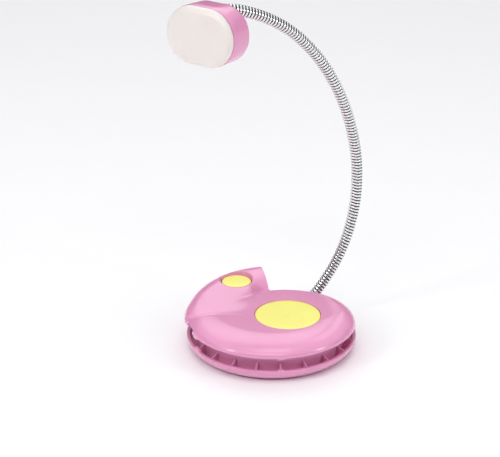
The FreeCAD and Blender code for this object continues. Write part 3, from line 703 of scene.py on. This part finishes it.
def ribs(shape):
    """Gussets between the wall and the rim."""
    outline = [(28.4, 1.3), (29.8, 1.3), (31.4, 2.6), (31.8, 5.1),
               (31.5, 5.22), (30.3, 5.6), (28.9, 6.5), (28.4, 6.9)]
    for k in range(-4, 5):
        azimuth = RIB_MIDDLE + (RIB_PITCH_RIGHT if k > 0 else RIB_PITCH_LEFT) * k
        out = polar(1, azimuth)
        across = polar(0.4, azimuth + 90)
        rows = []
        for offset, shrink in ((-1, 0.12), (-0.8, 0.0), (0.8, 0.0), (1, 0.12)):
            row = []
            for r, z in outline:
                height = z - (shrink if z > 3 else 0)
                row.append(out * r + across * offset + Vector((0, 0, height)))
            rows.append(row)
        shape.loft(rows)


def hinge_lugs(shape):
    for span in LUG_SPANS:
        rows = []
        for along in span:
            eye = HINGE + HINGE_DIR * along
            row = []
            for i in range(17):
                angle = math.pi * i / 16
                up = Vector((0, 0, LUG_R * math.sin(angle)))
                row.append(eye + HINGE_BACK * (LUG_R * math.cos(angle)) + up)
            row += [eye + HINGE_BACK * b + Vector((0, 0, 0.8 - HINGE.z)) for b in (-LUG_R, LUG_R)]
            rows.append(row)
        shape.loft(rows)


def lower_jaw():
    shape = Shape()
    saucer(shape)
    grip_wall(shape)
    ribs(shape)
    hinge_lugs(shape)
    return dress(shape.build("lower_jaw_tray", sharp=35), "clip_base", "pink_plastic", "lower_jaw")


lower_jaw()


# ---------------------------------------------------------------- the hinge's spring
def tube(shape, points, radius, sides=12):
    """A round rod along a line of points."""
    side = (points[1] - points[0]).orthogonal().normalized()
    rows = []
    for i, p in enumerate(points):
        along = (points[min(i + 1, len(points) - 1)] - points[max(i - 1, 0)]).normalized()
        side = (side - along * side.dot(along)).normalized()
        other = along.cross(side)
        rows.append([p + side * (radius * math.cos(2 * math.pi * j / sides))
                     + other * (radius * math.sin(2 * math.pi * j / sides)) for j in range(sides)])
    shape.loft(rows)


def at_hinge(along, back, up):
    return HINGE + HINGE_DIR * along + HINGE_BACK * back + Vector((0, 0, up))


def torsion_spring():
    """A coil round the hinge's line, with a leg to the jaw's floor and a leg to the shell's cover."""
    start, end = -24.1, -21.4
    turns = 3
    coil = 1.9
    leg = 9.0
    wire_radius = 0.4
    points = [at_hinge(start, leg, -9.05), at_hinge(start, leg * 0.5, -5.5)]
    steps = 96
    for i in range(steps + 1):
        angle = -math.pi / 2 + 2 * math.pi * turns * i / steps
        along = start + (end - start) * i / steps
        points.append(at_hinge(along, coil * math.cos(angle), coil * math.sin(angle)))
    points += [at_hinge(end, leg * 0.5, -1.5), at_hinge(end, leg, -1.1)]
    shape = Shape()
    tube(shape, points, wire_radius)
    obj = dress(shape.build("spring_wire", sharp=60), None, "steel", "torsion_spring")
    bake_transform(obj)


torsion_spring()

# ---------------------------------------------------------------- the wire-wound neck
NECK_R = 2.2
WIRE_WIDE = 0.42        # half its width along the neck
WIRE_HIGH = 0.42        # half its height
CORE_R = 1.72
PITCH = 1.27


def neck_frame(s):
    point, tangent = neck_line(s)
    inward = tangent.cross(NECK_SIDE).normalized()
    return point, tangent, inward


# the wire's section, as shares of its half height and half width: rolled nearly flat on the outside
WIRE_SECTION = [(1.0, 0.0), (0.985, 0.45), (0.94, 0.7), (0.8, 0.88), (0.45, 1.0), (-1.0, 1.0),
                (-1.0, -1.0), (0.45, -1.0), (0.8, -0.88), (0.94, -0.7), (0.985, -0.45)]


def wire(shape, start, end):
    steps = max(int((end - start) / PITCH * 24), 2)
    rows = []
    for i in range(steps + 1):
        s = start + (end - start) * i / steps
        point, tangent, inward = neck_frame(s)
        angle = 2 * math.pi * s / PITCH
        out = inward * math.cos(angle) + NECK_SIDE * math.sin(angle)
        rows.append([point + out * (NECK_R - WIRE_HIGH + WIRE_HIGH * high) + tangent * (WIRE_WIDE * wide)
                     for high, wide in WIRE_SECTION])
    shape.loft(rows)


def core(shape, start, end):
    steps = max(int((end - start) / 0.8), 2)
    rows = []
    for i in range(steps + 1):
        point, _, inward = neck_frame(start + (end - start) * i / steps)
        rows.append([point + inward * (CORE_R * math.cos(2 * math.pi * j / 24))
                     + NECK_SIDE * (CORE_R * math.sin(2 * math.pi * j / 24)) for j in range(24)])
    shape.loft(rows)


def neck():
    pivots_at = [NECK_AT[12 + 24 * i] for i in range(9)]
    cuts = [0.2] + [(a + b) / 2 for a, b in zip(pivots_at, pivots_at[1:])] + [NECK_LENGTH]
    for k in range(9):
        start, end = cuts[k], cuts[k + 1]
        for name, make in (("neck_coil_%d", wire), ("neck_core_%d", core)):
            shape = Shape()
            make(shape, start, end)
            obj = shape.build(name % (k + 1), sharp=60)
            # the core gets the near-black painted shade that darkens the gaps between turns
            if make is core:
                obj.data.materials.append(gap_shade_core_material)
            else:
                nodes = ["neck_root"] if k == 0 else ["neck_link_%d" % k]
                dress(obj, None, "neck_chrome", *(nodes + (["neck_tip"] if k == 8 else [])))
            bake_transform(obj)


neck()

# ---------------------------------------------------------------- the lamp head
HEAD_AT = Vector((-25, -17, 126))
HEAD_TURN = Matrix.Rotation(math.radians(-33), 3, "Z") @ Matrix.Rotation(math.radians(3), 3, "Y")
FLAT = 3.4
HEAD_R = 10.3
DEPTH = 11.0


def obround(radius, depth, steps=40):
    """The head's outline at a depth behind its face, in the part's frame."""
    points = []
    for middle, start in ((FLAT, -90), (-FLAT, 90)):
        for i in range(steps + 1):
            angle = math.radians(start + 180 * i / steps)
            p = Vector((middle + radius * math.cos(angle), depth, radius * math.sin(angle)))
            points.append(HEAD_AT + HEAD_TURN @ p)
    return points


def head_housing():
    shape = Shape()
    edge = 2.5
    profile = [(HEAD_R - 1.2, 1.5), (HEAD_R - 0.6, 1.2), (HEAD_R - 0.6, 0.05), (HEAD_R - 0.3, 0.0),
               (HEAD_R - 0.08, 0.08), (HEAD_R, 0.3), (HEAD_R, 4.0), (HEAD_R, DEPTH - edge)]
    profile += [(HEAD_R - edge + r, DEPTH - edge + y) for r, y in arc_profile((0, 0), edge, 0, 90, 12)[1:]]
    rows = [obround(radius, depth) for radius, depth in profile]
    shape.loft(rows, caps=(False, True))
    return dress(shape.build("head_shell", sharp=35), "lamp_head", "pink_plastic", "head_housing")


def diffuser():
    shape = Shape()
    high = 3.0
    radius = HEAD_R - 0.12
    edge = 2.4
    profile = [(radius - 1.3, 1.2), (radius - 0.5, 1.0), (radius - 0.5, -0.22),
               (radius - 0.1, -0.26), (radius, -0.4)]
    shoulder = high - 0.25 - edge
    profile += [(radius - edge + r, -shoulder - y) for r, y in arc_profile((0, 0), edge, 0, 82, 14)]
    last = profile[-1]
    for i in range(1, 8):
        r = last[0] * (1 - i / 8)
        profile.append((r, last[1] + (-high - last[1]) * (1 - (1 - i / 8) ** 2)))
    rows = [obround(r, y) for r, y in profile]
    shape.loft(rows)
    return dress(shape.build("diffuser_face", sharp=50), "lamp_head", "milky_plastic", "diffuser")


head_housing()
diffuser()


# ---------------------------------------------------------------- camera, light and floor
def look(obj, direction):
    obj.rotation_mode = "QUATERNION"
    obj.rotation_quaternion = Vector(direction).to_track_quat("-Z", "Y")


camera_data = bpy.data.cameras.new("camera")
camera_data.lens = 86.4
camera_data.sensor_width = 36.0
camera_data.clip_start = 0.01
camera = bpy.data.objects.new("camera", camera_data)
camera.location = Vector((-8.3, -420.5, 218.6)) * MM
camera.rotation_euler = (math.radians(67.98), 0, 0)
bpy.context.collection.objects.link(camera)
bpy.context.scene.camera = camera


def softbox(name, place, target, width, height, power, colour=(1, 1, 1)):
    data = bpy.data.lights.new(name, "AREA")
    data.shape = "RECTANGLE"
    data.size = width
    data.size_y = height
    data.energy = power
    data.color = colour
    lamp = bpy.data.objects.new(name, data)
    lamp.location = place
    look(lamp, Vector(target) - Vector(place))
    bpy.context.collection.objects.link(lamp)
    return lamp


softbox("light_top", (0.0, -0.1, 1.0), (0, 0, 0.03), 0.5, 0.5, 1.4)
softbox("light_left", (-0.8, -0.5, 0.55), (0, 0, 0.06), 0.2, 0.36, 2.1)
softbox("light_right", (0.85, -0.35, 0.4), (0, 0, 0.06), 0.16, 0.36, 1.5)
softbox("light_front", (-0.15, -0.75, 0.85), (0, 0, 0.03), 0.9, 0.22, 2.4)
softbox("light_back", (0.0, 1.6, 1.5), (0, 1.3, 0), 1.8, 1.6, 9.0)

# the studio: a bright ceiling over darker walls, which gives the chrome its dark lines
world = bpy.data.worlds.new("studio")
world.use_nodes = True
world_nodes = world.node_tree.nodes
world_links = world.node_tree.links
direction = world_nodes.new("ShaderNodeTexCoord")
split = world_nodes.new("ShaderNodeSeparateXYZ")
walls = world_nodes.new("ShaderNodeValToRGB")
world_links.new(direction.outputs["Generated"], split.inputs["Vector"])
world_links.new(split.outputs["Z"], walls.inputs["Fac"])
stops = walls.color_ramp.elements
stops[0].position = 0.06
stops[0].color = (0.9, 0.9, 0.92, 1)
stops[1].position = 0.6
stops[1].color = (0.98, 0.98, 1.0, 1)
for height in (0.12, 0.46):
    stops.new(height).color = (0.02, 0.02, 0.022, 1)
background = world_nodes["Background"]
world_links.new(walls.outputs["Color"], background.inputs["Color"])
background.inputs["Strength"].default_value = 0.8
bpy.context.scene.world = world
bpy.context.scene.view_settings.view_transform = "Standard"

floor_mesh = bpy.data.meshes.new("floor")
side = 3.0
corners = [(-side, -side, 0), (side, -side, 0), (side, side, 0), (-side, side, 0)]
floor_mesh.from_pydata(corners, [], [(0, 1, 2, 3)])
floor = bpy.data.objects.new("floor", floor_mesh)
bpy.context.collection.objects.link(floor)
floor_material = plastic("floor_paper", (0.96, 0.96, 0.965), roughness=0.8, coat=0, variation=0.004)
floor_mesh.materials.append(floor_material)
